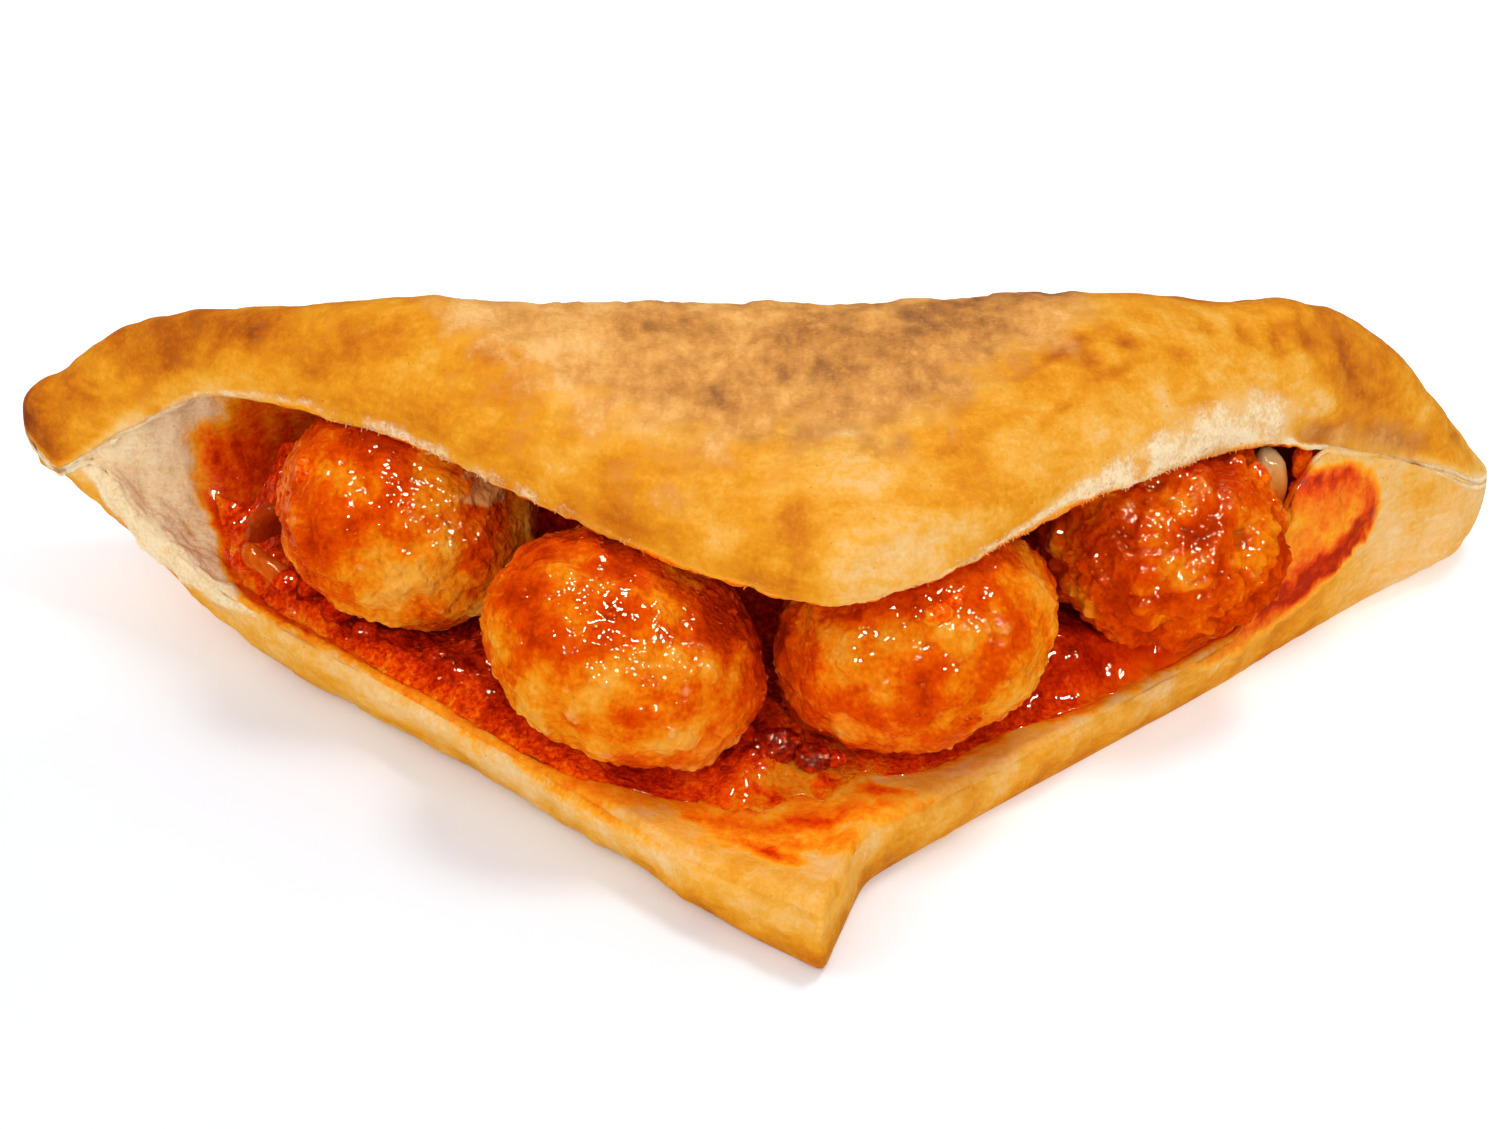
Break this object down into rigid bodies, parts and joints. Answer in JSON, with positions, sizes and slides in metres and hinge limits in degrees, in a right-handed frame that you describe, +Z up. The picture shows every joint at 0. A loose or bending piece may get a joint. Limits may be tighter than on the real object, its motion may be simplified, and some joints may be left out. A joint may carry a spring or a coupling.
{
  "type": "filled flatbread",
  "caption": "Three-cornered flatbread split along its short edges, its upper flap draped over meatballs lying in tomato sauce with onion pieces.",
  "frame": {"origin": "middle of the footprint box, on the plane the bread rests on", "axes": "+X along the long uncut back edge, +Y towards that edge, +Z up; the open mouth and the tips of both flaps face -Y"},
  "size_m": [0.2138, 0.1082, 0.0578],
  "materials": {
    "bread": "baked golden crust with cream crumb, matt",
    "meatball": "cooked minced meat coated in sauce, wet",
    "tomato_sauce": "thick tomato sauce, wet",
    "onion": "soft cooked onion stained by sauce, wet"
  },
  "bodies": {
    "root": {"bread": "bread", "meatball_left": "meatball", "meatball_front_left": "meatball", "meatball_front_right": "meatball", "meatball_right": "meatball", "tomato_sauce": "tomato_sauce", "onion_slab": "onion", "onion_sliver": "onion", "onion_strip": "onion"}
  },
  "joints": []
}
